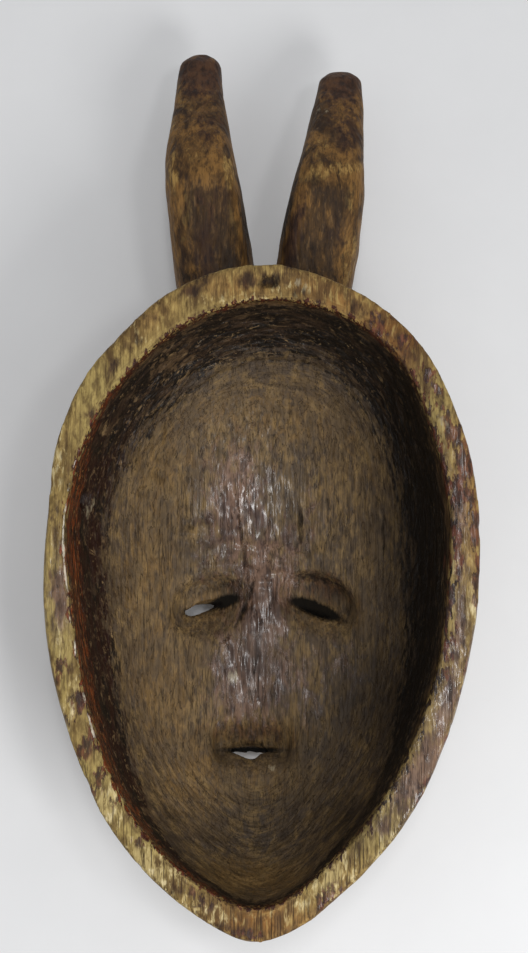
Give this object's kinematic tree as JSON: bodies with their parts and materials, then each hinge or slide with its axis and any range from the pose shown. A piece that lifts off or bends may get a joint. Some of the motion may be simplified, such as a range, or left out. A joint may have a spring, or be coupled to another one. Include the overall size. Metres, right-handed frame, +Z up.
{
  "type": "horned wooden face mask",
  "caption": "Carved wooden face mask with two forward-curving horns, shown lying on its face with the deep hollow back up; slit eyes and mouth pierce the wood.",
  "frame": {"origin": "middle of the bounding box seen from above, on the surface that the mask lies on", "axes": "+X across the face, +Y from the chin to the horn tips, +Z up and out of the hollow back; the mask lies face down"},
  "size_m": [0.184, 0.4054, 0.09],
  "materials": {
    "wood": "old carved wood, ochre and dark brown, dry on the rim and horns and glossy with handling inside"
  },
  "bodies": {
    "root": {"mask": "wood"}
  },
  "joints": []
}
